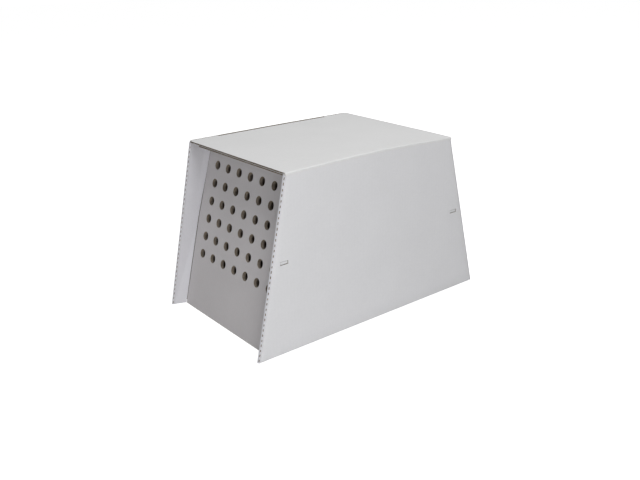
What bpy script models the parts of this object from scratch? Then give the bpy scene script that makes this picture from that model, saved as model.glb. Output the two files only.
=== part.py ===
"""Poultry transport crate: a one-trip corrugated board carton for live birds.

Metres, +Z up. X runs across the carton, from the tuck side of the lid (-X) to its fold (+X), and Y runs along it.
The origin is on the floor, at the middle of the base. Both ends are alike: the end at -Y is the front.
Every panel is its own object. Panels that meet keep a thin gap, so that they can be cut, folded and told apart.
"""

from math import atan2, cos, pi, radians, sin, tan

import bmesh
import bpy
from mathutils import Matrix, Vector

# Overall size
HEIGHT = 0.305
WIDTH = 0.300
BASE_LENGTH = 0.505
TOP_LENGTH = 0.370

# Board
BOARD = 0.003
GAP = 0.0003

# End walls: double, perforated, leaning inwards more than the side panels' sloping edges
END_WALL_FOOT_Y = 0.2275
END_WALL_LEAN = radians(16.0)
END_WALL_TOP_Z = 0.2815
END_WALL_FOOT_HALF_WIDTH = 0.1341
END_WALL_HALF_WIDTH = 0.1415

# Ventilation holes
HOLE_DIAMETER = 0.0158
HOLE_SIDES = 10
HOLE_ROWS = 6
HOLE_COLUMNS = 7
HOLE_COLUMN_PITCH = 0.0358
HOLE_ROW_PITCH = 0.0333
HOLE_TOP_ROW_UP_WALL = 0.2716
HOLE_CUTTER_LENGTH = 0.030

# Flanges: the side panel turns round a narrow nose and comes back to the end wall as a return flap
NOSE_WIDTH = 0.0072
RETURN_FOOT_OFFSET = 0.0155
RETURN_KINK_Z = 0.160

# Slots in the side panels, and the tongues of the return flaps that lock into them
SLOT_LENGTH = 0.0160
SLOT_HEIGHT = 0.0060
SLOT_Y = 0.1945
SLOT_Z = 0.160
TONGUE_LENGTH = 0.0148
TONGUE_HEIGHT = 0.0048
TONGUE_SETBACK = 0.0004

# Lid
LID_PLY_LEFT_X = -0.115
TUCK_DEPTH = 0.033
TUCK_INSET = 0.0055
TUCK_HALF_LENGTH = 0.125
TUCK_END_HALF_LENGTH = 0.112
TUCK_CORNER_RADIUS = 0.010
TUCK_CORNER_STEPS = 5

HALF_WIDTH = WIDTH / 2
EDGE_SLOPE = (BASE_LENGTH - TOP_LENGTH) / 2 / HEIGHT
WALL_SLOPE = tan(END_WALL_LEAN)
PLY_DEPTH = BOARD / cos(END_WALL_LEAN)
PLY_GAP = GAP / cos(END_WALL_LEAN)
INNER_PLY_Y = PLY_DEPTH + PLY_GAP
WALL_DEPTH = 2 * PLY_DEPTH + PLY_GAP
LID_UNDERSIDE = HEIGHT - BOARD
FLANGE_TOP = LID_UNDERSIDE - GAP
LID_LEFT_X = -(HALF_WIDTH - BOARD - GAP)


def clear_scene():
    for thing in list(bpy.data.objects):
        bpy.data.objects.remove(thing, do_unlink=True)


def board_material(name, colour, roughness):
    material = bpy.data.materials.new(name)
    material.use_nodes = True
    shader = material.node_tree.nodes["Principled BSDF"]
    shader.inputs["Base Color"].default_value = (*colour, 1.0)
    shader.inputs["Roughness"].default_value = roughness
    shader.inputs["Metallic"].default_value = 0.0
    return material


def add_object(name, mesh, colour, origin=(0.0, 0.0, 0.0), parent=None):
    """An object of this mesh, whose points are given about the origin, in a finish of its own."""
    thing = bpy.data.objects.new(name, mesh)
    thing.location = origin
    bpy.context.scene.collection.objects.link(thing)
    mesh.materials.append(board_material(name + "_board", colour, 0.85))
    if parent is not None:
        thing.parent = parent
        thing.matrix_parent_inverse = Matrix.Translation(parent.location).inverted()
    return thing


def add_pivot(name, location):
    pivot = bpy.data.objects.new(name, None)
    pivot.location = location
    bpy.context.scene.collection.objects.link(pivot)
    return pivot


def loft(name, rings):
    """One closed body through rings of the same number of points, closed by its first and last ring."""
    shape = bmesh.new()
    loops = [[shape.verts.new(point) for point in ring] for ring in rings]
    count = len(loops[0])
    for low, high in zip(loops, loops[1:]):
        for i in range(count):
            j = (i + 1) % count
            shape.faces.new((low[i], low[j], high[j], high[i]))
    shape.faces.new(reversed(loops[0]))
    shape.faces.new(loops[-1])
    bmesh.ops.recalc_face_normals(shape, faces=shape.faces)
    mesh = bpy.data.meshes.new(name)
    shape.to_mesh(mesh)
    shape.free()
    return mesh


def prism(name, outline, near, far):
    """A plate: the outline at each of its two faces, placed by two functions of an outline point."""
    return loft(name, [[near(*point) for point in outline], [far(*point) for point in outline]])


def box(name, low, high):
    (x0, y0, z0), (x1, y1, z1) = low, high
    outline = [(x0, y0), (x1, y0), (x1, y1), (x0, y1)]
    return prism(name, outline, lambda x, y: (x, y, z0), lambda x, y: (x, y, z1))


def cutter(name, mesh):
    tool = bpy.data.objects.new(name, mesh)
    tool.hide_render = True
    tool.display_type = "WIRE"
    bpy.context.scene.collection.objects.link(tool)
    return tool


def cut(thing, tool):
    modifier = thing.modifiers.new("Cut " + tool.name, "BOOLEAN")
    modifier.operation = "DIFFERENCE"
    modifier.solver = "EXACT"
    modifier.object = tool


def flange_edge_y(z):
    """How far from the middle the side panels' sloping edge is, at this height."""
    return BASE_LENGTH / 2 - EDGE_SLOPE * z


def end_wall_y(z):
    """How far from the middle the outer face of the end wall is, at this height."""
    return END_WALL_FOOT_Y - WALL_SLOPE * z


def return_offset(z):
    """How far inside the carton's width the return flap meets the end wall, at this height."""
    share = min(z / RETURN_KINK_Z, 1.0)
    return RETURN_FOOT_OFFSET + (NOSE_WIDTH - RETURN_FOOT_OFFSET) * share


def slot_cutter(side):
    """Two blocks through the side panel, one for the slot near each end."""
    low_x = HALF_WIDTH - 2 * BOARD
    high_x = HALF_WIDTH + BOARD
    low_x, high_x = sorted((side * low_x, side * high_x))
    shape = bmesh.new()
    for end in (-1, 1):
        block = box("Slot", (low_x, end * SLOT_Y - SLOT_LENGTH / 2, SLOT_Z - SLOT_HEIGHT / 2),
                    (high_x, end * SLOT_Y + SLOT_LENGTH / 2, SLOT_Z + SLOT_HEIGHT / 2))
        shape.from_mesh(block)
        bpy.data.meshes.remove(block)
    mesh = bpy.data.meshes.new("Slots")
    shape.to_mesh(mesh)
    shape.free()
    return cutter("Slots_" + ("right" if side > 0 else "left"), mesh)


def add_base():
    half_length = END_WALL_FOOT_Y - WALL_DEPTH - WALL_SLOPE * BOARD - 2 * GAP
    half_width = HALF_WIDTH - BOARD - GAP
    mesh = box("base_panel", (-half_width, -half_length, 0.0), (half_width, half_length, BOARD))
    add_object("base_panel", mesh, (0.72, 0.69, 0.66))


def add_side_panel(name, side):
    """Its top is flush with the lid on the tuck side, and under the lid on the fold side."""
    top = HEIGHT if side < 0 else FLANGE_TOP
    setback = BOARD + GAP
    foot_y = flange_edge_y(0.0) - setback
    top_y = flange_edge_y(top) - setback
    outline = [(-foot_y, 0.0), (foot_y, 0.0), (top_y, top), (-top_y, top)]
    outer_x = side * HALF_WIDTH
    inner_x = side * (HALF_WIDTH - BOARD)
    mesh = prism(name, outline, lambda y, z: (outer_x, y, z), lambda y, z: (inner_x, y, z))
    panel = add_object(name, mesh, (0.66, 0.66, 0.67))
    cut(panel, slot_cutter(side))


def add_nose_strip(name, side, end):
    rings = []
    for z in (0.0, FLANGE_TOP):
        front_y = flange_edge_y(z)
        back_y = front_y - BOARD
        inner_x = HALF_WIDTH - NOSE_WIDTH
        corners = [(HALF_WIDTH, front_y), (inner_x, front_y), (inner_x, back_y), (HALF_WIDTH, back_y)]
        rings.append([(side * x, end * y, z) for x, y in corners])
    add_object(name, loft(name, rings), (0.70, 0.70, 0.72))


def add_return_flap(name, side, end):
    """Flat against the side panel above the kink. Below it, the flap's lower back corner is bent inwards."""
    rings = []
    for z in (0.0, RETURN_KINK_Z, FLANGE_TOP):
        front_y = flange_edge_y(z) - BOARD - GAP
        back_y = end_wall_y(z) + GAP
        front_x = HALF_WIDTH - NOSE_WIDTH
        back_x = HALF_WIDTH - return_offset(z)
        corners = [(front_x, front_y), (back_x, back_y), (back_x + BOARD, back_y), (front_x + BOARD, front_y)]
        rings.append([(side * x, end * y, z) for x, y in corners])
    mesh = loft(name, rings)
    split_along_bend(mesh, rings)
    add_object(name, mesh, (0.60, 0.60, 0.63))


def split_along_bend(mesh, rings):
    """Splits both faces of the bent corner along the bend, from the foot's front to the kink's back."""
    foot, kink = rings[0], rings[1]
    shape = bmesh.new()
    shape.from_mesh(mesh)
    points = list(shape.verts)
    for front, back in ((0, 1), (3, 2)):
        ends = [min(points, key=lambda vertex: (vertex.co - Vector(target)).length)
                for target in (foot[front], kink[back])]
        bmesh.ops.connect_verts(shape, verts=ends)
    shape.to_mesh(mesh)
    shape.free()


def add_lock_tongue(name, side, end):
    """It reaches from the return flap into the slot, and stops just short of the side panel's face."""
    inner_x = HALF_WIDTH - NOSE_WIDTH + BOARD + GAP
    outer_x = HALF_WIDTH - TONGUE_SETBACK
    low_x, high_x = sorted((side * inner_x, side * outer_x))
    middle_y = end * SLOT_Y
    mesh = box(name, (low_x, middle_y - TONGUE_LENGTH / 2, SLOT_Z - TONGUE_HEIGHT / 2),
               (high_x, middle_y + TONGUE_LENGTH / 2, SLOT_Z + TONGUE_HEIGHT / 2))
    add_object(name, mesh, (0.60, 0.58, 0.55))


def hole_cutter(end):
    """A grid of pins square to the end wall, about its foot."""
    lean = Matrix.Rotation(end * END_WALL_LEAN, 4, "X")
    upright_to_wall = Matrix.Rotation(pi / 2, 4, "X")
    shape = bmesh.new()
    for row in range(HOLE_ROWS):
        up_wall = HOLE_TOP_ROW_UP_WALL - row * HOLE_ROW_PITCH
        for column in range(HOLE_COLUMNS):
            x = (column - (HOLE_COLUMNS - 1) / 2) * HOLE_COLUMN_PITCH
            place = lean @ Matrix.Translation((x, 0.0, up_wall)) @ upright_to_wall
            bmesh.ops.create_cone(shape, cap_ends=True, segments=HOLE_SIDES, radius1=HOLE_DIAMETER / 2,
                                  radius2=HOLE_DIAMETER / 2, depth=HOLE_CUTTER_LENGTH, matrix=place)
    mesh = bpy.data.meshes.new("Vents")
    shape.to_mesh(mesh)
    shape.free()
    tool = cutter("Vents_" + ("front" if end < 0 else "rear"), mesh)
    tool.location = (0.0, end * END_WALL_FOOT_Y, 0.0)
    return tool


def end_wall_half_width(z):
    share = min(z / RETURN_KINK_Z, 1.0)
    return END_WALL_FOOT_HALF_WIDTH + (END_WALL_HALF_WIDTH - END_WALL_FOOT_HALF_WIDTH) * share


def add_end_wall(end):
    """Two perforated plies joined by a strip along the top, which fold down together about the foot."""
    word = "front" if end < 0 else "rear"
    foot = (0.0, end * END_WALL_FOOT_Y, 0.0)
    pivot = add_pivot(word + "_end_wall_crease", foot)
    vents = hole_cutter(end)
    right_edge = [(end_wall_half_width(z), z) for z in (0.0, RETURN_KINK_Z, END_WALL_TOP_Z)]
    left_edge = [(-x, z) for x, z in reversed(right_edge)]
    outline = right_edge + left_edge

    def face(depth):
        return lambda x, z: (x, -end * (WALL_SLOPE * z + depth), z)

    for ply, depth in (("outer", 0.0), ("inner", INNER_PLY_Y)):
        name = f"{word}_{ply}_end_wall"
        mesh = prism(name, outline, face(depth), face(depth + PLY_DEPTH))
        wall = add_object(name, mesh, (0.46, 0.44, 0.45), foot, pivot)
        cut(wall, vents)

    low_z = END_WALL_TOP_Z + GAP
    high_z = low_z + BOARD
    half = END_WALL_HALF_WIDTH
    name = word + "_end_wall_top_fold"
    strip = [(-half, low_z), (half, low_z), (half, high_z), (-half, high_z)]
    mesh = prism(name, strip, face(0.0), face(WALL_DEPTH))
    add_object(name, mesh, (0.52, 0.50, 0.50), foot, pivot)


def rounded_tuck_outline():
    """Half the flap's free corner is an arc between its slanted end and its straight free edge."""
    run = TUCK_HALF_LENGTH - TUCK_END_HALF_LENGTH
    depth = TUCK_DEPTH - BOARD - GAP
    turn = atan2(depth, run)
    centre_y = TUCK_END_HALF_LENGTH - TUCK_CORNER_RADIUS * tan(turn / 2)
    centre_z = -depth + TUCK_CORNER_RADIUS
    corner = []
    for step in range(TUCK_CORNER_STEPS + 1):
        angle = pi / 2 - turn + turn * step / TUCK_CORNER_STEPS
        corner.append((centre_y + TUCK_CORNER_RADIUS * cos(angle), centre_z - TUCK_CORNER_RADIUS * sin(angle)))
    half = [(TUCK_HALF_LENGTH, 0.0)] + corner
    return half + [(-y, z) for y, z in reversed(half)]


def add_lid():
    """The lid turns about its upper right edge, and its tuck flap about the flap's own upper inner edge."""
    hinge = Vector((HALF_WIDTH, 0.0, HEIGHT))
    pivot = add_pivot("lid_crease", hinge)
    half_length = TOP_LENGTH / 2
    mesh = box("lid_panel", (LID_LEFT_X - hinge.x, -half_length, -BOARD), (0.0, half_length, 0.0))
    add_object("lid_panel", mesh, (0.62, 0.62, 0.62), hinge, pivot)

    ply_top = -BOARD - GAP
    right_x = -NOSE_WIDTH - 2 * GAP
    mesh = box("lid_inner_ply", (LID_PLY_LEFT_X - hinge.x, -half_length + GAP, ply_top - BOARD),
               (right_x, half_length - GAP, ply_top))
    add_object("lid_inner_ply", mesh, (0.55, 0.53, 0.52), hinge, pivot)

    crease = Vector((-(HALF_WIDTH - TUCK_INSET - BOARD), 0.0, FLANGE_TOP))
    tuck_pivot = add_pivot("tuck_crease", crease)
    outline = rounded_tuck_outline()
    mesh = prism("tuck_flap", outline, lambda y, z: (-BOARD, y, z), lambda y, z: (0.0, y, z))
    add_object("tuck_flap", mesh, (0.60, 0.59, 0.58), crease, tuck_pivot)


def main():
    clear_scene()
    add_base()
    for side, side_word in ((-1, "left"), (1, "right")):
        add_side_panel(side_word + "_side_panel", side)
        for end, end_word in ((-1, "front"), (1, "rear")):
            corner = f"{end_word}_{side_word}"
            add_nose_strip(corner + "_nose_strip", side, end)
            add_return_flap(corner + "_return_flap", side, end)
            add_lock_tongue(corner + "_lock_tongue", side, end)
    for end in (-1, 1):
        add_end_wall(end)
    add_lid()


main()
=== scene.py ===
"""Looks of the poultry transport crate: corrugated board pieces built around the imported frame.

Metres, +Z up. X runs across the carton, from the tuck side of the lid (-X) to its fold (+X), and Y along it.
Every panel is made of two liners and a fluted sheet between them, so that its cut edges are real. The nose
strips, lock tongues, top folds and creases are narrow, and are solid.
"""

from math import atan2, cos, exp, hypot, pi, radians, sin, sqrt, tan
from random import Random

import bmesh
import bpy
from mathutils import Matrix, Vector


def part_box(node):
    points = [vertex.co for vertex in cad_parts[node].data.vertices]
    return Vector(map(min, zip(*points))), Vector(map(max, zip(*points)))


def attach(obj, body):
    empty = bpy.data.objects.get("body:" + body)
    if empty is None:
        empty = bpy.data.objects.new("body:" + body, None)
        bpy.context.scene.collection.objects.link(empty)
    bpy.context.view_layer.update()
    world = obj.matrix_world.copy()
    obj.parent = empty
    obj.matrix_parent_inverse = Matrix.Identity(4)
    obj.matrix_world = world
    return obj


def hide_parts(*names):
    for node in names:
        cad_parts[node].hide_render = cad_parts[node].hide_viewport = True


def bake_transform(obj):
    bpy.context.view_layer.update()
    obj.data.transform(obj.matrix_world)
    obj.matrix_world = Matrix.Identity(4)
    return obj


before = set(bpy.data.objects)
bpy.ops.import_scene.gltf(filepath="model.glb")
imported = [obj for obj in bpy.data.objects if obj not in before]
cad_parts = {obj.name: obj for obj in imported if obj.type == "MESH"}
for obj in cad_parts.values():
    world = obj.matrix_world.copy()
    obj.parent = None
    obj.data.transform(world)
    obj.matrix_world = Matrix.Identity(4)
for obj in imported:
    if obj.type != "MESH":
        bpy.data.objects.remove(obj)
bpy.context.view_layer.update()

# Sizes read from the frame
LID_LOW, LID_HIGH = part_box("lid_panel")
PLY_LOW, PLY_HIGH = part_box("lid_inner_ply")
SIDE_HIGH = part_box("right_side_panel")[1]
NOSE_LOW, NOSE_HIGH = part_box("front_right_nose_strip")
WALL_LOW, WALL_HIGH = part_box("front_outer_end_wall")
FOLD_LOW, FOLD_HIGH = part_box("front_end_wall_top_fold")
BASE_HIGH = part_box("base_panel")[1]
TUCK_LOW, TUCK_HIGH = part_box("tuck_flap")
FLAP_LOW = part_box("front_right_return_flap")[0]
TONGUE_LOW, TONGUE_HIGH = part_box("front_right_lock_tongue")

HALF_WIDTH = SIDE_HIGH.x
HEIGHT = LID_HIGH.z
BOARD = LID_HIGH.z - LID_LOW.z
GAP = LID_LOW.z - PLY_HIGH.z
FLANGE_TOP = NOSE_HIGH.z
NOSE_WIDTH = NOSE_HIGH.x - NOSE_LOW.x
EDGE_FOOT = -NOSE_LOW.y
EDGE_SLOPE = (NOSE_HIGH.y - NOSE_LOW.y - BOARD) / FLANGE_TOP
WALL_FOOT = -WALL_LOW.y
WALL_TOP = WALL_HIGH.z
FLAP_FOOT_OFFSET = HALF_WIDTH - FLAP_LOW.x

# Shape of the end walls and flaps
END_WALL_LEAN = radians(16.0)
WALL_SLOPE = tan(END_WALL_LEAN)
PLY_DEPTH = BOARD / cos(END_WALL_LEAN)
PLY_GAP = GAP / cos(END_WALL_LEAN)
WALL_FOOT_HALF_WIDTH = 0.1341
WALL_KINK_HALF_WIDTH = 0.1415
WALL_TOP_HALF_WIDTH = 0.1401
WALL_NARROWED_Z = 0.260
FLAP_KINK_Z = 0.160
FLAP_CREASE_SOFTNESS = 0.0022
FLAP_UPPER_BEND = 0.0024
FLAP_UPPER_BEND_REACH = 0.013
FLAP_UPPER_BEND_RISE = 0.10
TOP_FOLD_ARC_STEPS = 6
TOP_FOLD_STATIONS = 12

# Vent holes
HOLE_RADIUS = 0.0079
HOLE_FLARE = 0.00035
HOLE_ROWS = 6
HOLE_COLUMNS = 7
HOLE_COLUMN_PITCH = 0.0358
HOLE_ROW_PITCH = 0.0333
HOLE_TOP_ROW_UP_WALL = 0.2716
HOLE_SEGMENTS = 28
HOLE_FLARE_DEPTH = 0.0005
PUNCH_START = -0.006
PUNCH_END = 0.020
INNER_PLY_SHIFT = (0.0006, -0.0005)

# Flutes, and the layers of the board as shares of its thickness
FLUTE_PITCH = 0.0065
STEPS_PER_FLUTE = 8
LINER = 0.16
MEDIUM = 0.085
MEDIUM_CLEARANCE = 0.012
MEDIUM_REACH = 0.5 - LINER - MEDIUM / 2 - MEDIUM_CLEARANCE

# Side panels: the foot's round, the bow, and where the points lie up the panel as shares of its height
FOOT_RADIUS = 0.0022
SIDE_BOW = 0.0008
SIDE_FOOT_SHARES = (0.0, 0.0008, 0.002, 0.0045, 0.0075)
SIDE_MIDDLE_STEPS = 14
SIDE_TOP_SHARES = (0.89, 0.92, 0.95, 0.975, 1.0)

# Perforated creases of the flanges
NOSE_START_INSET = 0.0010
NOSE_SOFT_REACH = 0.0080
NOSE_SOFT_STEPS = 4
NOSE_OUTER_ROUND = 0.0046
NOSE_INNER_ROUND = 0.0020
NOSE_ROUND_DEPTH = 0.0026
SLIT_PITCH = 0.0085
SLIT_LENGTH = 0.0050
SLIT_RAMP = 0.0006
SLIT_DEPTH = 0.0016
ARC_ANGLES = (0, 16, 31, 45, 59, 74, 90)
SLIT_ANGLE = 45
FIRST_SLIT = (0.001, 0.004)
SLIT_LENGTH_SPREAD = 0.0006
SLIT_PITCH_SPREAD = 0.0003
SLIT_DEPTH_SHARES = (0.75, 1.1)
NOSE_SWELL = 0.00018
DEPTH_SEED_SHIFT = 50

# Slots and tongues
SLOT_LENGTH = 0.0160
SLOT_HEIGHT = 0.0060
TONGUE_CRUSH = 0.0009

# Lid: its hollow, and each handling mark's start, stop, sag and depth
LID_HOLLOW = 0.0007
LID_MARKS = (
    ((0.0848, -0.1485), (0.1147, -0.1174), 0.010, 0.0010),
    ((-0.128, 0.030), (-0.112, 0.058), 0.006, 0.0007),
)
MARK_HALF_WIDTH = 0.0016
MARK_OVERRUN = 0.1
MARK_FADE = 0.25
NICK_X = 0.133
NICK_Y = -0.020
NICK_LENGTHENING = 0.8
NICK_REACH = 0.0035
NICK_DEPTH = 0.0006

# Tuck flap
TUCK_END_HALF_LENGTH = 0.112
TUCK_CORNER_RADIUS = 0.010
TUCK_CORNER_STEPS = 6

# Creases: the lid's two, then the end walls' at the foot
CREASE_START_DROP = 0.0050
CREASE_STEPS = 10
CREASE_STATIONS = 24
LID_FOLD_OUTER_RADIUS = 0.0024
LID_FOLD_INNER_RADIUS = 0.0006
TUCK_CREASE_DROP = 0.0016
TUCK_OUTER_RADIUS = 0.0022
TUCK_INNER_RADIUS = 0.0001
TUCK_INNER_WIDTH = 0.0002
FOOT_STRIP = 0.0004
FOOT_STRIP_ROWS = 8
FOOT_STRIP_COLUMNS = 4
FOOT_CLEARANCE = 0.0005

# How the carton has settled: the fold crowned, the rear end low, its right foot splayed and its top drawn in
FOLD_CROWN = 0.0026
REAR_DROP = 0.0038
REAR_DROP_LEFT_SHARE = 0.25
REAR_FOOT_SPLAY = 0.0060
REAR_TOP_PINCH = 0.0022

# Material places in each mesh
WHITE, KRAFT, RAW = 0, 1, 2

# Angles in degrees past which a shape's edges are sharp
PANEL_SHARP = 35.0
STRIP_SHARP = 50.0
TONGUE_SHARP = 60.0
CUT_SHARP = 30.0

# Paper: each mark's texture scale and detail, and the span that the noise mostly fills
CLOUD_SCALE, CLOUD_DETAIL = 14.0, 3.0
MOTTLE_SCALE, MOTTLE_DETAIL = 210.0, 4.0
FIBRE_SCALE, FIBRE_DETAIL = 900.0, 5.0
FIBRE_STRETCH = (1.0, 0.22, 0.45)
SPECK_SCALE, SPECK_DETAIL = 1500.0, 2.0
SPECK_START = 0.62
SPECK_FULL = 0.74
SPECK_COLOUR = (0.045, 0.030, 0.018, 1.0)
NOISE_LOW = 0.3
NOISE_HIGH = 0.7

# Paper: how much each mark gives to its tone and its relief, and how its gloss varies
CLOUD_TONE = 0.40
MOTTLE_TONE = 0.30
FIBRE_TONE = 0.30
RIDGE_TONE = 0.10
RIDGE_RELIEF = 0.55
RELIEF_HEIGHT = 0.0004
SMOOTHER = 0.06
ROUGHER = 0.08
PAPER_SPECULAR = 0.25

# Stage: the glows are seen by the camera alone
FLOOR_Z = -0.0004
FLOOR_SIZE = 24.0
FLOOR_COLOUR = (0.62, 0.62, 0.62, 1.0)
FLOOR_ROUGHNESS = 0.9
FLOOR_SPECULAR = 0.1
FLOOR_GLOW = 0.84
SKY_LIGHT = 0.25
SKY_GLOW = 1.0
PURE_WHITE = (1.0, 1.0, 1.0, 1.0)

# Lights: name, place, what it points at, size and power
LIGHTS = (
    ("Key", (0.74, -0.10, 2.12), (0.0, 0.0, 0.12), 1.3, 25.0),
    ("Fill", (-0.6, -2.2, 1.1), (0.0, -0.2, 0.15), 1.8, 2.6),
    ("Bounce", (1.18, -0.70, 0.08), (0.15, -0.1, 0.04), 0.7, 7.2),
    ("Back fill", (-1.7, 1.6, 0.9), (0.0, 0.0, 0.15), 1.6, 9.0),
)

# Camera
CAMERA_PLACE = (1.0471, -0.8156, 0.6097)
CAMERA_TURN = radians(52.29)
CAMERA_DOWN = radians(20.73)
CAMERA_ROLL = radians(-1.53)
CAMERA_LENS = 42.06
CAMERA_SENSOR = 36.0


# ---------------------------------------------------------------- outlines

def flange_edge_y(z):
    """How far from the middle the flanges' sloping outer edge is, at this height."""
    return EDGE_FOOT - EDGE_SLOPE * z


def end_wall_y(z):
    """How far from the middle the outer face of the end wall is, at this height."""
    return WALL_FOOT - WALL_SLOPE * z


# ---------------------------------------------------------------- meshes

def smoothstep(share):
    """0 to 1 with level ends."""
    share = min(max(share, 0.0), 1.0)
    return share * share * (3 - 2 * share)


def settled(x, y, z):
    """Where a point of the folded sheet lies once the carton has settled."""
    rise = z / HEIGHT
    rightness = (x / HALF_WIDTH + 1) / 2
    run = y / LID_HIGH.y
    crown = FOLD_CROWN * rightness ** 3 * max(0.0, 1 - run * run)
    drop = REAR_DROP * (REAR_DROP_LEFT_SHARE + (1 - REAR_DROP_LEFT_SHARE) * rightness) * smoothstep(run)
    past_wall = max(0.0, (y - end_wall_y(z) - GAP) / (flange_edge_y(z) - end_wall_y(z)))
    splay = (REAR_FOOT_SPLAY * (1 - rise) - REAR_TOP_PINCH * rise) * rightness ** 6 * past_wall ** 2
    return (x, y + splay, z + rise * (crown - drop))


class Shape:
    """Collects closed skins, then makes one object of them."""

    def __init__(self):
        self.points = []
        self.faces = []
        self.paints = []

    def face(self, corners, paint):
        self.faces.append(corners)
        self.paints.append(paint)

    def skin(self, near, far, near_paint, far_paint, rim_paint):
        """A closed plate between two grids of points with the same rows and columns."""
        rows, columns = len(near), len(near[0])
        first = len(self.points)
        for grid in (near, far):
            for row in grid:
                self.points.extend(row)

        def at(side, i, j):
            return first + (side * rows + i) * columns + j

        for i in range(rows - 1):
            for j in range(columns - 1):
                self.face((at(0, i, j), at(0, i, j + 1), at(0, i + 1, j + 1), at(0, i + 1, j)), near_paint)
                self.face((at(1, i, j), at(1, i + 1, j), at(1, i + 1, j + 1), at(1, i, j + 1)), far_paint)
            for j in (0, columns - 1):
                self.face((at(0, i, j), at(0, i + 1, j), at(1, i + 1, j), at(1, i, j)), rim_paint)
        for j in range(columns - 1):
            for i in (0, rows - 1):
                self.face((at(0, i, j), at(0, i, j + 1), at(1, i, j + 1), at(1, i, j)), rim_paint)

    def sweep(self, rings, paint_of, cap_paint):
        """A closed bar through rings of points. paint_of(row, column) gives each side face its material."""
        first = len(self.points)
        count = len(rings[0])
        for ring in rings:
            self.points.extend(ring)
        for i in range(len(rings) - 1):
            for j in range(count):
                k = (j + 1) % count
                low, high = first + i * count, first + (i + 1) * count
                self.face((low + j, low + k, high + k, high + j), paint_of(i, j))
        last = first + (len(rings) - 1) * count
        self.face(tuple(range(first, first + count)), cap_paint)
        self.face(tuple(range(last, last + count)), cap_paint)

    def make(self, name, materials, sharp_angle=PANEL_SHARP, settle=True):
        """One object of all the skins. A settled one is bent the way the carton has settled."""
        points = [settled(*point) for point in self.points] if settle else self.points
        mesh = bpy.data.meshes.new(name)
        mesh.from_pydata(points, [], self.faces)
        for material in materials:
            mesh.materials.append(material)
        mesh.polygons.foreach_set("material_index", self.paints)
        shape = bmesh.new()
        shape.from_mesh(mesh)
        bmesh.ops.recalc_face_normals(shape, faces=shape.faces)
        shape.to_mesh(mesh)
        shape.free()
        mesh.shade_smooth()
        mesh.set_sharp_from_angle(angle=radians(sharp_angle))
        thing = bpy.data.objects.new(name, mesh)
        bpy.context.scene.collection.objects.link(thing)
        return thing


def spread(low, high, count, corners=()):
    """Evenly spaced values from low to high, with the given corners among them."""
    values = {round(low + (high - low) * i / count, 7) for i in range(count + 1)}
    values |= {round(corner, 7) for corner in corners if low < corner < high}
    return sorted(values)


def even(count):
    """Shares from 0 to 1 in this many equal steps."""
    return [i / count for i in range(count + 1)]


def board(name, place, reach, extent, shares, materials, corners=(), stations=24, faces=(WHITE, KRAFT),
          core=KRAFT, settle=True):
    """Corrugated board. place(u, v, w) puts a point: u across the flutes, v along them, w through the board.

    w is 0 on the outer face and 1 on the inner one. extent(u) gives the lowest and highest v at u, and
    shares says where between them the points lie. Along u, the liners have points at even stations and at
    the corners. core is the material between the liners.
    """
    low_u, high_u = reach
    shape = Shape()

    def grid(stations_u, depth):
        rows = []
        for u in stations_u:
            low, high = extent(u)
            rows.append([place(u, low + (high - low) * share, depth(u)) for share in shares])
        return rows

    liner_u = spread(low_u, high_u, stations, corners)
    outer, inner = faces
    shape.skin(grid(liner_u, lambda u: 0.0), grid(liner_u, lambda u: LINER), outer, core, RAW)
    shape.skin(grid(liner_u, lambda u: 1.0 - LINER), grid(liner_u, lambda u: 1.0), core, inner, RAW)

    steps = max(STEPS_PER_FLUTE, round((high_u - low_u) / FLUTE_PITCH * STEPS_PER_FLUTE))
    flute_u = spread(low_u, high_u, steps)

    def middle(u):
        return 0.5 + MEDIUM_REACH * cos(2 * pi * (u - low_u) / FLUTE_PITCH)

    lower = grid(flute_u, lambda u: middle(u) - MEDIUM / 2)
    upper = grid(flute_u, lambda u: middle(u) + MEDIUM / 2)
    shape.skin(lower, upper, core, core, RAW)
    return shape.make(name, materials, settle=settle)


def cut(thing, tool):
    """Cuts the tool out of the thing for good. The cut faces keep the tool's material."""
    modifier = thing.modifiers.new("Cut", "BOOLEAN")
    modifier.operation = "DIFFERENCE"
    modifier.solver = "EXACT"
    modifier.material_mode = "TRANSFER"
    modifier.object = tool
    graph = bpy.context.evaluated_depsgraph_get()
    mesh = bpy.data.meshes.new_from_object(thing.evaluated_get(graph))
    thing.modifiers.clear()
    thing.data = mesh
    mesh.shade_smooth()
    mesh.set_sharp_from_angle(angle=radians(CUT_SHARP))
    bpy.data.objects.remove(tool, do_unlink=True)


def finish_piece(thing, body, slot, *nodes):
    """Hangs the piece on its body, and hides the CAD nodes that it takes the place of. slot is not used."""
    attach(thing, body)
    if nodes:
        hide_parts(*nodes)


# ---------------------------------------------------------------- materials

def noise(nodes, links, vector, scale, detail, stretch=(1.0, 1.0, 1.0)):
    mapping = nodes.new("ShaderNodeMapping")
    mapping.inputs["Scale"].default_value = stretch
    links.new(vector, mapping.inputs["Vector"])
    texture = nodes.new("ShaderNodeTexNoise")
    texture.inputs["Scale"].default_value = scale
    texture.inputs["Detail"].default_value = detail
    links.new(mapping.outputs["Vector"], texture.inputs["Vector"])
    return texture.outputs["Fac"]


def remap(nodes, links, value, low, high, new_low, new_high):
    node = nodes.new("ShaderNodeMapRange")
    node.inputs["From Min"].default_value = low
    node.inputs["From Max"].default_value = high
    node.inputs["To Min"].default_value = new_low
    node.inputs["To Max"].default_value = new_high
    links.new(value, node.inputs["Value"])
    return node.outputs["Result"]


def combine(nodes, links, operation, first, second):
    node = nodes.new("ShaderNodeMath")
    node.operation = operation
    links.new(first, node.inputs[0])
    if isinstance(second, float):
        node.inputs[1].default_value = second
    else:
        links.new(second, node.inputs[1])
    return node.outputs["Value"]


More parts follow.
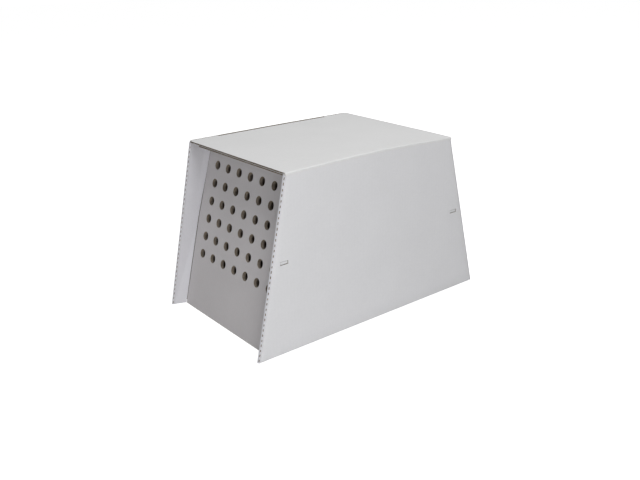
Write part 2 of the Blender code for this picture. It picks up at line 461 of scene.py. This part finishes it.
def mixed(nodes, links, factor, first, second):
    node = nodes.new("ShaderNodeMix")
    node.data_type = "RGBA"
    node.inputs["A"].default_value = (*first, 1.0)
    node.inputs["B"].default_value = (*second, 1.0)
    links.new(factor, node.inputs["Factor"])
    return node.outputs["Result"]


def paper(name, light, dark, flute_axis=None, roughness=0.78, fleck=0.0, grain=0.12):
    """Paper: soft mottling, short fibres and, where a flute axis is given, a faint washboard along it."""
    material = bpy.data.materials.new(name)
    material.use_nodes = True
    nodes, links = material.node_tree.nodes, material.node_tree.links
    shader = nodes["Principled BSDF"]
    shader.inputs["Specular IOR Level"].default_value = PAPER_SPECULAR
    place = nodes.new("ShaderNodeTexCoord").outputs["Object"]

    clouds = noise(nodes, links, place, CLOUD_SCALE, CLOUD_DETAIL)
    mottle = noise(nodes, links, place, MOTTLE_SCALE, MOTTLE_DETAIL)
    fibres = noise(nodes, links, place, FIBRE_SCALE, FIBRE_DETAIL, FIBRE_STRETCH)
    tone = combine(nodes, links, "ADD", remap(nodes, links, clouds, NOISE_LOW, NOISE_HIGH, 0.0, CLOUD_TONE),
                   remap(nodes, links, mottle, NOISE_LOW, NOISE_HIGH, 0.0, MOTTLE_TONE))
    fibre_tone = remap(nodes, links, fibres, NOISE_LOW, NOISE_HIGH, 0.0, FIBRE_TONE)
    tone = combine(nodes, links, "ADD", tone, fibre_tone)
    height = combine(nodes, links, "MULTIPLY", fibres, 0.5)
    height = combine(nodes, links, "ADD", height, combine(nodes, links, "MULTIPLY", mottle, 0.5))

    if flute_axis is not None:
        split = nodes.new("ShaderNodeSeparateXYZ")
        links.new(place, split.inputs["Vector"])
        turns = combine(nodes, links, "MULTIPLY", split.outputs[flute_axis], 2 * pi / FLUTE_PITCH)
        ridges = nodes.new("ShaderNodeMath")
        ridges.operation = "SINE"
        links.new(turns, ridges.inputs[0])
        ridge = remap(nodes, links, ridges.outputs["Value"], -1.0, 1.0, 0.0, 1.0)
        tone = combine(nodes, links, "ADD", tone, combine(nodes, links, "MULTIPLY", ridge, RIDGE_TONE))
        ridge_relief = combine(nodes, links, "MULTIPLY", ridge, RIDGE_RELIEF)
        height = combine(nodes, links, "ADD", height, ridge_relief)

    colour = mixed(nodes, links, tone, dark, light)
    if fleck > 0.0:
        specks = noise(nodes, links, place, SPECK_SCALE, SPECK_DETAIL)
        factor = remap(nodes, links, specks, SPECK_START, SPECK_FULL, 0.0, fleck)
        darker = nodes.new("ShaderNodeMix")
        darker.data_type = "RGBA"
        links.new(factor, darker.inputs["Factor"])
        links.new(colour, darker.inputs["A"])
        darker.inputs["B"].default_value = SPECK_COLOUR
        colour = darker.outputs["Result"]
    links.new(colour, shader.inputs["Base Color"])
    dullness = remap(nodes, links, mottle, NOISE_LOW, NOISE_HIGH, roughness - SMOOTHER, roughness + ROUGHER)
    links.new(dullness, shader.inputs["Roughness"])

    bump = nodes.new("ShaderNodeBump")
    bump.inputs["Strength"].default_value = grain
    bump.inputs["Distance"].default_value = RELIEF_HEIGHT
    links.new(height, bump.inputs["Height"])
    links.new(bump.outputs["Normal"], shader.inputs["Normal"])
    return material


kraft_liner = paper("Kraft liner", (0.300, 0.235, 0.175), (0.215, 0.165, 0.120), fleck=0.4)
raw_edge = paper("Raw cut edge", (0.520, 0.475, 0.415), (0.330, 0.290, 0.240), fleck=0.5, grain=0.3)
pale_edge = paper("Pale cut edge", (0.660, 0.640, 0.615), (0.560, 0.535, 0.505), fleck=0.2, grain=0.2)
side_white = paper("Side white liner", (0.760, 0.760, 0.775), (0.715, 0.715, 0.730), "Y", grain=0.06)
lid_white = paper("Lid white liner", (0.765, 0.765, 0.765), (0.720, 0.720, 0.720), "Y", grain=0.06)
# Painted shade: the flanges' liner is the sides' white board painted a little darker, standing in for the
# shade on the return flaps and noses.
flange_liner_painted_shade = paper("Flange liner painted shade", (0.745, 0.740, 0.775), (0.695, 0.690, 0.722), "Y", grain=0.06)
# Painted shade: the end walls' liner is the sides' white board painted darker, standing in for the shade on
# the recessed end walls.
wall_liner_painted_shade = paper("End wall liner painted shade", (0.640, 0.618, 0.627), (0.585, 0.565, 0.572), "X", grain=0.08)

# Materials of each kind of piece, in the order WHITE, KRAFT, RAW
SIDE_PAINT = (side_white, kraft_liner, pale_edge)
LID_PAINT = (lid_white, kraft_liner, pale_edge)
FLANGE_PAINT = (flange_liner_painted_shade, kraft_liner, pale_edge)
# The noses' RAW place is the dark kraft liner, darker than the other cut edges: the slits' faces are partly
# the board's brown core and partly painted shade inside the slits.
NOSE_PAINT_SHADED_SLITS = (flange_liner_painted_shade, kraft_liner, kraft_liner)
# The end walls' white liner carries painted shade.
WALL_PAINT = (wall_liner_painted_shade, kraft_liner, raw_edge)


# ---------------------------------------------------------------- base and sides

def add_base():
    half_length = BASE_HIGH.y
    half_width = BASE_HIGH.x

    def place(u, v, w):
        return (v, u, BASE_HIGH.z * w)

    base = board("base_board", place, (-half_length, half_length), lambda u: (-half_width, half_width),
                 even(2), SIDE_PAINT, settle=False)
    finish_piece(base, "carton", "base_board", "base_panel")


def slot_block(side):
    """Two blocks in one object, which cut the slots of a side panel."""
    shape = Shape()
    middle_z = (TONGUE_LOW.z + TONGUE_HIGH.z) / 2
    middle_y = -(TONGUE_LOW.y + TONGUE_HIGH.y) / 2
    for end in (-1, 1):
        low_y, high_y = end * middle_y - SLOT_LENGTH / 2, end * middle_y + SLOT_LENGTH / 2
        low_z, high_z = middle_z - SLOT_HEIGHT / 2, middle_z + SLOT_HEIGHT / 2
        rings = []
        for x in (HALF_WIDTH - 2 * BOARD, HALF_WIDTH + BOARD):
            rings.append([(side * x, low_y, low_z), (side * x, high_y, low_z),
                          (side * x, high_y, high_z), (side * x, low_y, high_z)])
        shape.sweep(rings, lambda i, j: 0, 0)
    return shape.make("Slots", [raw_edge])


def add_side_panel(name, side):
    """A side panel. Its foot is rounded, its middle bows slightly in, and its ends turn in to the noses."""
    setback = BOARD + GAP
    top = HEIGHT if side < 0 else HEIGHT - CREASE_START_DROP
    foot_y = flange_edge_y(0.0) - setback
    top_y = flange_edge_y(top) - setback

    def place(u, v, w):
        rise = min(v / FOOT_RADIUS, 1.0)
        rounding = FOOT_RADIUS * (1 - sqrt(1 - (1 - rise) ** 2)) * (1 - w)
        inward = SIDE_BOW * (1 - (u / foot_y) ** 2) * sin(pi * min(v / HEIGHT, 1.0))
        from_edge = foot_y - EDGE_SLOPE * v - abs(u)
        inward += NOSE_START_INSET * max(0.0, 1 - from_edge / NOSE_SOFT_REACH) ** 2
        return (side * (HALF_WIDTH - w * BOARD - rounding - inward), u, v)

    def extent(u):
        high = min(top, (foot_y - abs(u)) / EDGE_SLOPE)
        return (0.0, max(high, GAP))

    middle_shares = [i / SIDE_MIDDLE_STEPS for i in range(1, SIDE_MIDDLE_STEPS - 1)]
    shares = [*SIDE_FOOT_SHARES, *middle_shares, *SIDE_TOP_SHARES]
    near_edge = NOSE_SOFT_REACH / NOSE_SOFT_STEPS
    steps = range(-NOSE_SOFT_STEPS, int((foot_y - top_y) / near_edge) + 1)
    corners = [sign * (top_y + near_edge * step) for step in steps for sign in (-1, 1)]
    panel = board(name + "_board", place, (-foot_y, foot_y), extent, shares, SIDE_PAINT, corners, stations=60,
                  core=RAW if side < 0 else KRAFT)
    cut(panel, slot_block(side))
    finish_piece(panel, "carton", "side_board", name)


# ---------------------------------------------------------------- flanges

def nose_outline():
    """The nose's section, from the side panel's face round both creases.

    Each point is its inset from the side, its depth, and whether it is slit.
    """
    outline = [(NOSE_START_INSET, BOARD, False)]
    for angle in ARC_ANGLES:
        turn = radians(angle)
        inset = NOSE_START_INSET + (NOSE_OUTER_ROUND - NOSE_START_INSET) * (1 - cos(turn))
        outline.append((inset, NOSE_ROUND_DEPTH * (1 - sin(turn)), angle == SLIT_ANGLE))
    for angle in reversed(ARC_ANGLES):
        turn = radians(angle)
        outline.append((NOSE_WIDTH - NOSE_INNER_ROUND * (1 - cos(turn)), NOSE_ROUND_DEPTH * (1 - sin(turn)),
                        angle == SLIT_ANGLE))
    outline.append((NOSE_WIDTH, BOARD, False))
    return outline


def slit_rows(seed):
    """Heights of the nose's rows, each with whether the creases are slit there."""
    chance = Random(seed)
    rows = [(0.0, False)]
    low = chance.uniform(*FIRST_SLIT)
    while low + SLIT_LENGTH < FLANGE_TOP - SLIT_RAMP:
        length = SLIT_LENGTH + chance.uniform(-SLIT_LENGTH_SPREAD, SLIT_LENGTH_SPREAD)
        rows += [(low, False), (low + SLIT_RAMP, True)]
        rows += [(low + length - SLIT_RAMP, True), (low + length, False)]
        low += SLIT_PITCH + chance.uniform(-SLIT_PITCH_SPREAD, SLIT_PITCH_SPREAD)
    rows.append((FLANGE_TOP, False))
    return rows


def add_nose_strip(name, side, end, seed):
    """A nose strip: a solid bar with a row of slits along each of its two creases."""
    outline = nose_outline()
    rows = slit_rows(seed)
    chance = Random(seed + DEPTH_SEED_SHIFT)
    rings = []
    for z, slit in rows:
        push = SLIT_DEPTH * chance.uniform(*SLIT_DEPTH_SHARES) if slit else 0.0
        swell = chance.uniform(0.0, NOSE_SWELL)
        ring = []
        for inset, depth, cut_here in outline:
            inwards = push * sqrt(0.5) if cut_here else 0.0
            from_right = inset + inwards if inset < NOSE_WIDTH / 2 else inset - inwards
            back = depth + inwards + swell
            ring.append((side * (HALF_WIDTH - from_right), end * (flange_edge_y(z) - min(back, BOARD)), z))
        rings.append(ring)
    slit_columns = {j for j, point in enumerate(outline) if point[2]}
    slit_columns |= {j - 1 for j in slit_columns}

    # Slit faces take the dark kraft liner: painted shade in the slits, on top of the board's brown core.
    def paint_of(i, j):
        return RAW if rows[i][1] and rows[i + 1][1] and j in slit_columns else WHITE

    shape = Shape()
    shape.sweep(rings, paint_of, WHITE)
    strip = shape.make(name + "_board", NOSE_PAINT_SHADED_SLITS, STRIP_SHARP)
    finish_piece(strip, "carton", "flange_board", name)


def flap_inset(distance, z):
    """How far inwards the return flap is bent, at this distance from the carton's middle and this height."""
    foot_front = Vector((flange_edge_y(0.0) - BOARD - GAP, 0.0))
    foot_back = Vector((end_wall_y(0.0) + GAP, 0.0))
    kink_back = Vector((end_wall_y(FLAP_KINK_Z) + GAP, FLAP_KINK_Z))
    along = (kink_back - foot_front).normalized()
    across = Vector((-along.y, along.x))
    full = (foot_back - foot_front).dot(across)
    share = (Vector((distance, z)) - foot_front).dot(across) / full
    soft = FLAP_CREASE_SOFTNESS / abs(full)
    share = (share + sqrt(share * share + soft * soft)) / 2 - soft / 2
    lower = max(share, 0.0) * (FLAP_FOOT_OFFSET - NOSE_WIDTH)
    from_wall = distance - end_wall_y(z) - GAP
    near_wall = smoothstep(1 - from_wall / FLAP_UPPER_BEND_REACH)
    upper = FLAP_UPPER_BEND * near_wall * smoothstep((z - FLAP_KINK_Z) / FLAP_UPPER_BEND_RISE)
    return lower + upper


def add_return_flap(name, side, end):
    """A return flap, from the nose strip back to the end wall."""
    front_foot = flange_edge_y(0.0) - BOARD - GAP
    back_foot = end_wall_y(0.0) + GAP
    back_top = end_wall_y(FLANGE_TOP) + GAP
    front_top = flange_edge_y(FLANGE_TOP) - BOARD - GAP

    def place(u, v, w):
        inner = HALF_WIDTH - NOSE_WIDTH - flap_inset(u, v)
        return (side * (inner + w * BOARD), end * u, v)

    def extent(u):
        low = max(0.0, (back_foot - u) / WALL_SLOPE)
        high = min(FLANGE_TOP, (front_foot - u) / EDGE_SLOPE)
        return (min(low, high - GAP), high) if high > GAP else (0.0, GAP)

    flap = board(name + "_board", place, (back_top, front_foot), extent, even(32), FLANGE_PAINT,
                 (back_foot, front_top), stations=56)
    finish_piece(flap, "carton", "flange_board", name)


def add_lock_tongue(name, side, end):
    """A crushed board end with its outer corners bevelled, lying in the slot."""
    low_x, high_x = TONGUE_LOW.x, TONGUE_HIGH.x
    middle_z = (TONGUE_LOW.z + TONGUE_HIGH.z) / 2
    middle_y = -(TONGUE_LOW.y + TONGUE_HIGH.y) / 2
    half_length = (TONGUE_HIGH.y - TONGUE_LOW.y) / 2
    half_height = (TONGUE_HIGH.z - TONGUE_LOW.z) / 2
    profile = ((low_x, 0.0), (high_x - TONGUE_CRUSH, 0.0), (high_x - TONGUE_CRUSH / 3, TONGUE_CRUSH / 3),
               (high_x, TONGUE_CRUSH))
    rings = []
    for x, inset in profile:
        wide, tall = half_length - inset, half_height - inset
        ring = [(-wide, -tall), (0.0, -tall), (wide, -tall), (wide, 0.0),
                (wide, tall), (0.0, tall), (-wide, tall), (-wide, 0.0)]
        rings.append([(side * x, end * middle_y + along, middle_z + up) for along, up in ring])
    shape = Shape()
    shape.sweep(rings, lambda i, j: RAW if i == 0 else WHITE, WHITE)
    tongue = shape.make(name + "_board", SIDE_PAINT, TONGUE_SHARP)
    finish_piece(tongue, "carton", "tongue_board", name)


# ---------------------------------------------------------------- end walls

def hole_punches(end, shift_x, shift_up):
    """Punches square to the end wall, each flared where it enters the outer face."""
    lean = Matrix.Rotation(end * END_WALL_LEAN, 4, "X")
    move = Matrix.Translation((0.0, end * WALL_FOOT, 0.0))
    profile = [(PUNCH_START, HOLE_RADIUS + 2 * HOLE_FLARE), (0.0, HOLE_RADIUS + HOLE_FLARE),
               (HOLE_FLARE_DEPTH, HOLE_RADIUS), (PUNCH_END, HOLE_RADIUS)]
    shape = Shape()
    for row in range(HOLE_ROWS):
        up_wall = HOLE_TOP_ROW_UP_WALL - row * HOLE_ROW_PITCH + shift_up
        for column in range(HOLE_COLUMNS):
            middle = (column - (HOLE_COLUMNS - 1) / 2) * HOLE_COLUMN_PITCH + shift_x
            rings = []
            for depth, radius in profile:
                ring = []
                for step in range(HOLE_SEGMENTS):
                    turn = 2 * pi * step / HOLE_SEGMENTS
                    point = Vector((middle + radius * cos(turn), -end * depth, up_wall + radius * sin(turn)))
                    ring.append(tuple(move @ lean @ point))
                rings.append(ring)
            shape.sweep(rings, lambda i, j: 0, 0)
    return shape.make("Punches", [raw_edge], settle=False)


def add_ply(name, body, end, depth, faces, shift):
    """One perforated ply of an end wall, this deep behind the wall's outer face."""
    def place(u, v, w):
        return (u, end * (end_wall_y(v) - depth - w * PLY_DEPTH), v)

    def extent(u):
        widening = (abs(u) - WALL_FOOT_HALF_WIDTH) / (WALL_KINK_HALF_WIDTH - WALL_FOOT_HALF_WIDTH)
        narrowing = (abs(u) - WALL_TOP_HALF_WIDTH) / (WALL_KINK_HALF_WIDTH - WALL_TOP_HALF_WIDTH)
        low = max(FOOT_CLEARANCE, FLAP_KINK_Z * widening)
        high = WALL_NARROWED_Z + (FLAP_KINK_Z - WALL_NARROWED_Z) * narrowing if narrowing > 0 else WALL_TOP
        return (low, max(high, low + GAP))

    corners = [side * half for half in (WALL_FOOT_HALF_WIDTH, WALL_TOP_HALF_WIDTH) for side in (-1, 1)]
    ply = board(name + "_board", place, (-WALL_KINK_HALF_WIDTH, WALL_KINK_HALF_WIDTH), extent, even(1),
                WALL_PAINT, corners, stations=8, faces=faces, settle=False)
    cut(ply, hole_punches(end, *shift))
    finish_piece(ply, body, "end_wall_board", name)


def add_end_wall(word, end):
    """An end wall: two plies, the strip that joins them at the top, and the crease at the foot."""
    body = word + "_end_wall"
    add_ply(f"{word}_outer_end_wall", body, end, 0.0, (WHITE, KRAFT), (0.0, 0.0))
    add_ply(f"{word}_inner_end_wall", body, end, PLY_DEPTH + PLY_GAP, (KRAFT, WHITE), INNER_PLY_SHIFT)

    depth = 2 * PLY_DEPTH + PLY_GAP
    low_z, high_z = FOLD_LOW.z, FOLD_HIGH.z
    radius = high_z - low_z
    section = [(0.0, low_z)]
    for step in range(TOP_FOLD_ARC_STEPS + 1):
        turn = pi / 2 * step / TOP_FOLD_ARC_STEPS
        section.append((radius * (1 - cos(turn)), low_z + radius * sin(turn)))
    for step in range(TOP_FOLD_ARC_STEPS + 1):
        turn = pi / 2 * (1 - step / TOP_FOLD_ARC_STEPS)
        section.append((depth - radius * (1 - cos(turn)), low_z + radius * sin(turn)))
    section.append((depth, low_z))
    rings = []
    for x in spread(-WALL_TOP_HALF_WIDTH, WALL_TOP_HALF_WIDTH, TOP_FOLD_STATIONS):
        rings.append([(x, end * (end_wall_y(z) - back), z) for back, z in section])
    shape = Shape()
    shape.sweep(rings, lambda i, j: WHITE, RAW)
    fold = shape.make(f"{word}_top_fold_board", WALL_PAINT, STRIP_SHARP, settle=False)
    finish_piece(fold, body, "end_wall_board", f"{word}_end_wall_top_fold")

    half = WALL_FOOT_HALF_WIDTH
    near_y, far_y = BASE_HIGH.y + GAP, WALL_FOOT
    strip = Shape()
    ys = spread(near_y, far_y, FOOT_STRIP_COLUMNS)
    lower = [[(x, end * y, 0.0) for y in ys] for x in spread(-half, half, FOOT_STRIP_ROWS)]
    upper = [[(x, y, FOOT_STRIP) for x, y, z in row] for row in lower]
    strip.skin(lower, upper, WHITE, KRAFT, RAW)
    finish_piece(strip.make(f"{word}_foot_crease", WALL_PAINT, settle=False), "carton", "end_wall_board")


# ---------------------------------------------------------------- lid

def lid_dent(x, y):
    """Shallow handling marks pressed into the lid: two crescents, and a nick near the fold."""
    depth = 0.0
    for start, stop, sag, deep in LID_MARKS:
        start, stop = Vector(start), Vector(stop)
        along = stop - start
        share = (Vector((x, y)) - start).dot(along) / along.length_squared
        if not -MARK_OVERRUN < share < 1 + MARK_OVERRUN:
            continue
        across = Vector((-along.y, along.x)).normalized()
        curve = start + along * share + across * sag * (1 - (2 * share - 1) ** 2)
        away = (Vector((x, y)) - curve).dot(across)
        fade = smoothstep(min(share + MARK_OVERRUN, 1 + MARK_OVERRUN - share) / MARK_FADE)
        depth += deep * fade * exp(-(away / MARK_HALF_WIDTH) ** 2)
    away = hypot(x - NICK_X, (y - NICK_Y) * NICK_LENGTHENING)
    return depth + NICK_DEPTH * exp(-(away / NICK_REACH) ** 2)


def add_lid():
    """The lid and the second ply under it."""
    half_length = LID_HIGH.y
    left_x = TUCK_HIGH.x
    right_x = HALF_WIDTH - CREASE_START_DROP

    def sag(x, y):
        """A very slight hollow in the middle of the lid."""
        return LID_HOLLOW * (1 - (x / HALF_WIDTH) ** 2) * (1 - (y / half_length) ** 2)

    def place(u, v, w):
        return (v, u, HEIGHT - w * BOARD - sag(v, u) - lid_dent(v, u) * (1 - w))

    def extent(u):
        """The lid is wider past the ends of its tuck flap, where its edge is cut and not folded."""
        return (left_x if abs(u) < TUCK_HIGH.y + GAP else LID_LOW.x, right_x)

    corners = [sign * (TUCK_HIGH.y + step * GAP) for step in (0.5, 1.5) for sign in (-1, 1)]
    lid = board("lid_panel_board", place, (-half_length, half_length), extent, even(150), LID_PAINT, corners,
                stations=190)
    finish_piece(lid, "lid", "lid_board", "lid_panel")

    def place_ply(u, v, w):
        return (v, u, PLY_HIGH.z - w * BOARD - sag(v, u))

    ply = board("lid_inner_ply_board", place_ply, (PLY_LOW.y, PLY_HIGH.y), lambda u: (PLY_LOW.x, PLY_HIGH.x),
                even(14), LID_PAINT, faces=(KRAFT, WHITE))
    finish_piece(ply, "lid", "lid_board", "lid_inner_ply")


def add_tuck_flap():
    """The tuck flap, hanging from just under its crease."""
    top = TUCK_HIGH.z - TUCK_CREASE_DROP
    depth = top - TUCK_LOW.z
    half = TUCK_HIGH.y
    radius = TUCK_CORNER_RADIUS
    turn = atan2(depth, half - TUCK_END_HALF_LENGTH)
    arc_start = TUCK_END_HALF_LENGTH - radius * tan(turn / 2)

    def drop(y):
        """The flap's depth at y: straight free edge, rounded corner, slanted end."""
        arc_stop = arc_start + radius * sin(turn)
        if y <= arc_start:
            return depth
        if y < arc_stop:
            return depth - radius + sqrt(radius ** 2 - (y - arc_start) ** 2)
        return max(GAP, (half - y) * tan(turn))

    def place(u, v, w):
        return (TUCK_LOW.x + w * BOARD, u, top + v)

    arc = [arc_start + radius * step / TUCK_CORNER_STEPS for step in range(TUCK_CORNER_STEPS + 1)]
    corners = [side * y for y in arc for side in (-1, 1)]
    flap = board("tuck_flap_board", place, (-half, half), lambda u: (-drop(abs(u)), 0.0), even(8), LID_PAINT,
                 corners, stations=40)
    finish_piece(flap, "tuck", "lid_board", "tuck_flap")


def crease_strip(name, half_length, outer_path, inner_path, paints):
    """A strip of board bent along a crease, between an outer and an inner path of (x, z) points."""
    shape = Shape()
    ys = spread(-half_length, half_length, CREASE_STATIONS)
    outer = [[(x, y, z) for x, z in outer_path] for y in ys]
    inner = [[(x, y, z) for x, z in inner_path] for y in ys]
    shape.skin(outer, inner, WHITE, KRAFT, RAW)
    return shape.make(name, paints, STRIP_SHARP)


def bend_path(start, corner, stop, radius, steps):
    """From start to stop by way of a rounded corner, whose two sides are square to each other."""
    start, corner, stop = Vector(start), Vector(corner), Vector(stop)
    before, after = (start - corner).normalized(), (stop - corner).normalized()
    centre = corner + (before + after) * radius
    path = [start]
    for step in range(steps + 1):
        turn = pi / 2 * step / steps
        path.append(centre - after * radius * cos(turn) - before * radius * sin(turn))
    path.append(stop)
    return [tuple(point) for point in path]


def add_creases():
    """The lid's two creases, at its fold and at its tuck flap."""
    right = HALF_WIDTH
    low_z = HEIGHT - CREASE_START_DROP
    lid_x = HALF_WIDTH - CREASE_START_DROP
    outer = bend_path((right, low_z), (right, HEIGHT), (lid_x, HEIGHT), LID_FOLD_OUTER_RADIUS, CREASE_STEPS)
    inner = bend_path((right - BOARD, low_z), (right - BOARD, HEIGHT - BOARD), (lid_x, HEIGHT - BOARD),
                      LID_FOLD_INNER_RADIUS, CREASE_STEPS)
    fold = crease_strip("lid_fold_crease", LID_HIGH.y, outer, inner, LID_PAINT)
    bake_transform(fold)

    inner_x, outer_x = TUCK_HIGH.x, TUCK_LOW.x
    low_z = TUCK_HIGH.z - TUCK_CREASE_DROP
    outer = bend_path((inner_x, HEIGHT), (outer_x, HEIGHT), (outer_x, low_z), TUCK_OUTER_RADIUS, CREASE_STEPS)
    turn_x = inner_x - TUCK_INNER_WIDTH
    inner = bend_path((inner_x, HEIGHT - BOARD), (turn_x, HEIGHT - BOARD), (turn_x, low_z),
                      TUCK_INNER_RADIUS, CREASE_STEPS)
    tuck = crease_strip("tuck_crease", TUCK_HIGH.y, outer, inner, LID_PAINT)
    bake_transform(tuck)


# ---------------------------------------------------------------- stage

def shown_white(nodes, links, lit, strength):
    """Adds white to a surface or a sky for the camera alone, so that it doesn't light the object."""
    ray = nodes.new("ShaderNodeLightPath")
    is_sky = lit.node.type == "BACKGROUND"
    glow = nodes.new("ShaderNodeBackground" if is_sky else "ShaderNodeEmission")
    glow.inputs["Strength"].default_value = strength
    glow.inputs["Color"].default_value = PURE_WHITE
    added = nodes.new("ShaderNodeAddShader")
    links.new(lit, added.inputs[0])
    links.new(glow.outputs[0], added.inputs[1])
    chosen = nodes.new("ShaderNodeMixShader")
    links.new(ray.outputs["Is Camera Ray"], chosen.inputs["Fac"])
    links.new(lit, chosen.inputs[1])
    links.new(added.outputs[0], chosen.inputs[2])
    return chosen.outputs[0]


def add_floor():
    bpy.ops.mesh.primitive_plane_add(size=FLOOR_SIZE, location=(0.0, 0.0, FLOOR_Z))
    floor = bpy.context.object
    floor.name = "Floor"
    material = bpy.data.materials.new("Floor")
    material.use_nodes = True
    nodes, links = material.node_tree.nodes, material.node_tree.links
    shader = nodes["Principled BSDF"]
    shader.inputs["Base Color"].default_value = FLOOR_COLOUR
    shader.inputs["Roughness"].default_value = FLOOR_ROUGHNESS
    shader.inputs["Specular IOR Level"].default_value = FLOOR_SPECULAR
    surface = shown_white(nodes, links, shader.outputs["BSDF"], FLOOR_GLOW)
    links.new(surface, nodes["Material Output"].inputs["Surface"])
    floor.data.materials.append(material)


def add_area_light(name, location, target, size, power):
    data = bpy.data.lights.new(name, "AREA")
    data.shape = "DISK"
    data.size = size
    data.energy = power
    light = bpy.data.objects.new(name, data)
    light.location = location
    light.rotation_euler = (Vector(target) - Vector(location)).to_track_quat("-Z", "Y").to_euler()
    bpy.context.scene.collection.objects.link(light)


def add_world():
    world = bpy.data.worlds.new("Studio")
    bpy.context.scene.world = world
    world.use_nodes = True
    nodes, links = world.node_tree.nodes, world.node_tree.links
    background = nodes["Background"]
    background.inputs["Color"].default_value = PURE_WHITE
    background.inputs["Strength"].default_value = SKY_LIGHT
    surface = shown_white(nodes, links, background.outputs["Background"], SKY_GLOW)
    links.new(surface, nodes["World Output"].inputs["Surface"])


def add_camera():
    flat = cos(CAMERA_DOWN)
    ahead = Vector((-sin(CAMERA_TURN) * flat, cos(CAMERA_TURN) * flat, -sin(CAMERA_DOWN)))
    level = Vector((cos(CAMERA_TURN), sin(CAMERA_TURN), 0.0))
    upright = level.cross(ahead)
    right = level * cos(CAMERA_ROLL) + upright * sin(CAMERA_ROLL)
    up = upright * cos(CAMERA_ROLL) - level * sin(CAMERA_ROLL)
    data = bpy.data.cameras.new("Camera")
    data.sensor_width = CAMERA_SENSOR
    data.lens = CAMERA_LENS
    camera = bpy.data.objects.new("Camera", data)
    pose = Matrix((right, up, -ahead)).transposed().to_4x4()
    camera.matrix_world = Matrix.Translation(CAMERA_PLACE) @ pose
    bpy.context.scene.collection.objects.link(camera)
    bpy.context.scene.camera = camera


def main():
    add_base()
    seed = 1
    for side, side_word in ((-1, "left"), (1, "right")):
        add_side_panel(side_word + "_side_panel", side)
        for end, end_word in ((-1, "front"), (1, "rear")):
            corner = f"{end_word}_{side_word}"
            add_nose_strip(corner + "_nose_strip", side, end, seed)
            add_return_flap(corner + "_return_flap", side, end)
            add_lock_tongue(corner + "_lock_tongue", side, end)
            seed += 1
    for word, end in (("front", -1), ("rear", 1)):
        add_end_wall(word, end)
    add_lid()
    add_tuck_flap()
    add_creases()
    add_floor()
    add_world()
    for light in LIGHTS:
        add_area_light(*light)
    bpy.context.scene.view_settings.view_transform = "Standard"


main()
add_camera()
